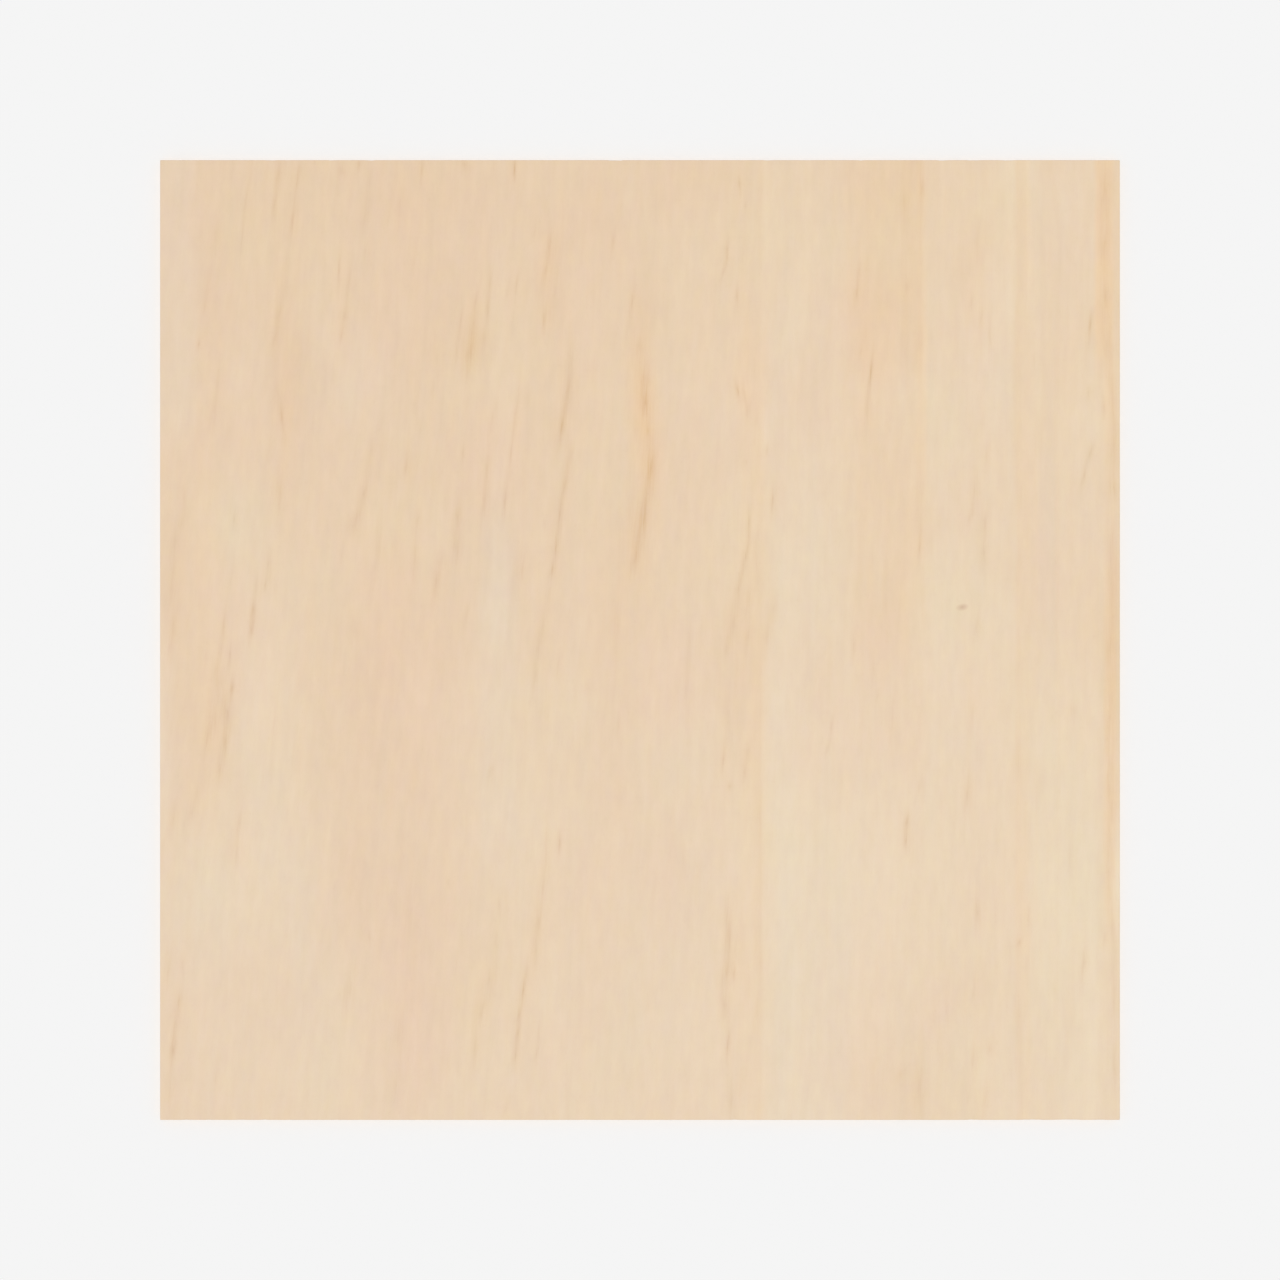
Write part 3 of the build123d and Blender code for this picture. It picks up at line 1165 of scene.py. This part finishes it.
class SheetMesh:
    """The closed skin of the sheet, gathered piece by piece."""

    def __init__(self):
        self.random = np.random.default_rng(GRAIN_SEED)
        self.points = []
        self.faces = []
        self.finishes = []
        self.spots = []
        inner_x = HALF_WIDTH_MM - EASED_EDGE_MM
        inner_y = HALF_LENGTH_MM - EASED_EDGE_MM
        self.across = places(-inner_x, inner_x, ACROSS_STEP_MM)
        self.along = places(-inner_y, inner_y, ALONG_STEP_MM)
        self.edge_along = places(-inner_y, inner_y, EDGE_STEP_MM)

    def add_points(self, points):
        """Adds points and returns their numbers."""
        first = len(self.points)
        self.points.extend(tuple(point) for point in points)
        return list(range(first, len(self.points)))

    def add_face(self, corners, finish, spots):
        """Adds a face with its finish and its corners' spots in the bake map."""
        self.faces.append(corners)
        self.finishes.append(finish)
        self.spots.extend(spots)

    def add_flat_face(self, corners, finish):
        """A face of a broad side. A broad side is mapped as it is seen from above."""
        bottom, top = FLAT_SPANS[finish]
        places_x = [0.5 + self.points[corner][0] / WIDTH_MM for corner in corners]
        places_y = [0.5 + self.points[corner][1] / LENGTH_MM for corner in corners]
        spots = [(map_across(x), bottom + y * (top - bottom)) for x, y in zip(places_x, places_y)]
        if finish == GOOD_FACE:
            row = int(LEAVES_ALONG * sum(places_y) / len(places_y))
            finish += LEAVES_ACROSS * row + int(LEAVES_ACROSS * sum(places_x) / len(places_x))
        self.add_face(corners, finish, spots)

    def broad_side(self, finish, flat, inward, hollow):
        """A broad side, finely divided across the grain. Returns its points, column by column."""
        columns = []
        for x in self.across:
            y = self.edge_along if abs(x) == self.across[-1] else self.along
            start = self.random.uniform(0, math.tau)
            ridge = 0.5 + 0.5 * np.sin(start + y * self.random.uniform(*RIDGE_TURN_PER_MM))
            depth = FIBRE_RIDGE_MM * ridge + FLECK_HOLLOW_MM * hollow(np.full_like(y, x), y)
            columns.append(self.add_points(np.column_stack((np.full_like(y, x), y, flat + inward * depth))))
        for left, right in zip(columns, columns[1:]):
            self.join_columns(left, right, finish, inward)
        return columns

    def join_columns(self, left, right, finish, inward):
        """Faces between two columns, which may have different numbers of points."""
        low, far = 0, 0
        while low < len(left) - 1 or far < len(right) - 1:
            left_next = self.points[left[low + 1]][1] if low < len(left) - 1 else math.inf
            right_next = self.points[right[far + 1]][1] if far < len(right) - 1 else math.inf
            corners = [left[low], right[far]]
            if right_next <= left_next + SAME_PLACE_MM:
                far += 1
                corners.append(right[far])
            if left_next <= right_next + SAME_PLACE_MM:
                low += 1
                corners.append(left[low])
            self.add_flat_face(corners if inward < 0 else corners[::-1], finish)

    def rim(self, columns):
        """Points round a broad side, counter-clockwise from above, with each corner's point several times."""
        near = [column[0] for column in columns]
        far = [column[-1] for column in reversed(columns)]
        around = []
        for line in (near, columns[-1], far, columns[0][::-1]):
            around += line + line[-1:] * (CORNER_STEPS - 1)
        return around

    def draw_chips(self):
        """Chips in the arrises of the near and far edges: side, height, both ends along it, depth."""
        chips = []
        for left, right in WORN_ARRIS_PX:
            chips.append((NEAR_SIDE, THICK_MM, face_x_mm(left), face_x_mm(right), WORN_DEPTH_MM))
        for side in (NEAR_SIDE, FAR_SIDE):
            for arris in (0, THICK_MM):
                for middle in self.random.uniform(-HALF_WIDTH_MM, HALF_WIDTH_MM, CHIPS_PER_ARRIS):
                    half = self.random.uniform(*CHIP_HALF_MM)
                    depth = WORN_DEPTH_MM * self.random.uniform(*CHIP_DEPTH_SHARE)
                    chips.append((side, arris, middle - half, middle + half, depth))
        return chips

    def edge_relief(self, side, along, heights):
        """How far in each point of the sawn edges lies, row by row."""
        shape = (len(heights), len(side))
        fuzz = END_GRAIN_FUZZ_MM * self.random.random(shape)
        wave = LONG_GRAIN_WAVE_MM * smoothed(self.random.random(shape), WAVE_REACH)
        core = (heights > GLUE_LINES_MM[0]) & (heights < GLUE_LINES_MM[-1])
        end_grain = core[:, None] != (side % 2 == 0)[None, :]
        relief = np.where(end_grain, fuzz, wave)
        for glue in GLUE_LINES_MM:
            relief[np.abs(heights - glue) < SAME_PLACE_MM] += GLUE_GROOVE_MM
        for chip_side, arris, left, right, depth in self.draw_chips():
            off_middle = (along - (left + right) / 2) / ((right - left) / 2)
            bite = np.clip(1 - off_middle**2, 0, 1) * (side == chip_side)
            torn = self.random.uniform(*TORN_SHARE, len(along))
            fade = np.clip(1 - np.abs(heights - arris) / PLY_MM, 0, 1)
            relief += depth * fade[:, None] * (bite * torn)[None, :]
        return relief

    def edge_lines(self, inner, way_out, side, turn, rows):
        """Lines of points round the sheet, from the good face down to the back, with their relief."""
        insets, heights = rows[:, :1], rows[:, 1]
        relief = self.edge_relief(side, np.where(side % 2 == 0, inner[:, 0], inner[:, 1]), heights)
        relief[:, turn > 0] *= CORNER_RELIEF_SHARE
        reach = EASED_EDGE_MM - insets - relief
        reach = np.maximum(reach, np.where(insets > 0, LEAST_REACH_MM, -math.inf))
        lines = []
        for line_reach, height in zip(reach, heights):
            outer = inner + way_out * line_reach[:, None]
            lines.append(self.add_points(np.column_stack((outer, np.full(len(outer), height)))))
        return lines

    def sawn_edges(self, good_columns, back_columns):
        """The four edges with their eased arrises and corners, from the good face down to the back."""
        good_rim = self.rim(good_columns)
        back_rim = self.rim(back_columns)
        inner = np.array([self.points[point][:2] for point in good_rim])
        ends = (len(self.across), len(self.edge_along)) * 2
        side = np.repeat(np.arange(SIDES), [count + CORNER_STEPS - 1 for count in ends])
        turn = np.concatenate([[0] * count + list(range(1, CORNER_STEPS)) for count in ends])
        heading = np.radians(90 * (side - 1) + 90 * turn / CORNER_STEPS)
        way_out = np.column_stack((np.cos(heading), np.sin(heading)))
        rows = section_rows()
        lines = [good_rim, *self.edge_lines(inner, way_out, side, turn, rows), back_rim]

        edge_map = EdgeMap(inner + way_out * EASED_EDGE_MM, side, turn, rows)
        arris_rows = ARC_STEPS // 2
        for row, (upper, lower) in enumerate(zip(lines, lines[1:])):
            for here in range(len(good_rim)):
                after = (here + 1) % len(good_rim)
                corners = [upper[here], lower[here], lower[after], upper[after]]
                marks = [(here, row), (here, row + 1), (here + 1, row + 1), (here + 1, row)]
                kept = [i for i in range(len(corners)) if corners[i] != corners[i - 1]]
                corners = [corners[i] for i in kept]
                if row < arris_rows:
                    self.add_flat_face(corners, GOOD_FACE)
                elif row >= len(lines) - 1 - arris_rows:
                    self.add_flat_face(corners, BACK_FACE)
                else:
                    strip = edge_map.strips[here]
                    finish = END_EDGE if strip % 2 == 0 else SIDE_EDGE
                    self.add_face(corners, finish, [edge_map.spot(strip, *marks[i]) for i in kept])

    def piece(self, finishes):
        """The mesh as an object with a finish on each side."""
        mesh = bpy.data.meshes.new(SKIN)
        mesh.from_pydata([[part * MM for part in point] for point in self.points], [], self.faces)
        for finish in finishes:
            mesh.materials.append(finish)
        mesh.polygons.foreach_set("material_index", self.finishes)
        mesh.polygons.foreach_set("use_smooth", [True] * len(self.faces))
        bake_map = mesh.uv_layers.new(name=BAKE_MAP)
        bake_map.data.foreach_set("uv", np.array(self.spots, dtype=np.float32).ravel())
        mesh.update()
        piece = bpy.data.objects.new(SKIN, mesh)
        bpy.context.scene.collection.objects.link(piece)
        return piece


def make_sheet():
    """The sheet's skin in place of the plain solid."""
    skin = SheetMesh()
    good_columns = skin.broad_side(GOOD_FACE, THICK_MM, -1, fleck_depth)
    back_columns = skin.broad_side(BACK_FACE, 0, 1, no_hollow)
    skin.sawn_edges(good_columns, back_columns)
    finishes = [good_face(number) for number in range(LEAVES)]
    finishes.append(back_face())
    finishes.append(sawn_edge("side_edge_plies", core_shows_end_grain=True))
    finishes.append(sawn_edge("end_edge_plies", core_shows_end_grain=False))
    piece = skin.piece(finishes)
    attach(piece, "root")
    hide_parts(SHEET)


def make_floor():
    """A wide pale floor, just under the back of the sheet so that the two share no surface."""
    bpy.ops.mesh.primitive_plane_add(size=FLOOR_SIDE, location=(0, 0, sheet_low.z - FLOOR_GAP_MM * MM))
    floor = bpy.context.object
    floor.name = "pale_floor"
    material = bpy.data.materials.new("pale_floor_paint")
    nodes = Nodes(material)
    paint = nodes.add("BsdfDiffuse", sockets={"Color": (FLOOR_GREY, FLOOR_GREY, FLOOR_GREY, 1)})
    nodes.add("OutputMaterial", sockets={0: paint})
    floor.data.materials.append(material)


def make_light():
    """An even pale room, and a soft lamp overhead."""
    world = bpy.data.worlds.new("pale_room")
    bpy.context.scene.world = world
    world.cycles.sampling_method = "NONE"  # an even room is smoothest where rays find it by chance
    nodes = Nodes(world)
    camera_ray = nodes.add("LightPath", out="Is Camera Ray")
    lighting = nodes.add("Background", sockets={"Color": (1, 1, 1, 1), "Strength": SKY_LIGHT})
    seen = nodes.add("Background", sockets={"Color": (1, 1, 1, 1), "Strength": FLOOR_GREY})
    in_view = camera_ray + camera_ray.output("Is Glossy Ray") + camera_ray.output("Is Transmission Ray")
    room = nodes.add("MixShader", sockets={0: in_view, 1: lighting, 2: seen})
    nodes.add("OutputWorld", sockets={0: room})

    lamp = bpy.data.lights.new("soft_lamp", "SUN")
    lamp.energy = SUN_LIGHT
    lamp.angle = SUN_SPREAD
    holder = bpy.data.objects.new("soft_lamp", lamp)
    holder.rotation_euler = SUN_TILT
    bpy.context.scene.collection.objects.link(holder)


def make_camera():
    """A long lens straight above the middle of the good face, with the grain upright."""
    camera = bpy.data.cameras.new("camera_above")
    camera.lens = LENS_MM
    camera.sensor_width = SENSOR_MM
    holder = bpy.data.objects.new("camera_above", camera)
    distance = PHOTO_PX * PX_MM * MM * LENS_MM / SENSOR_MM
    holder.location = (0, 0, sheet_high.z + distance)
    bpy.context.scene.collection.objects.link(holder)
    bpy.context.scene.camera = holder


make_sheet()
make_floor()
make_light()
make_camera()
bpy.context.scene.view_settings.view_transform = "Standard"
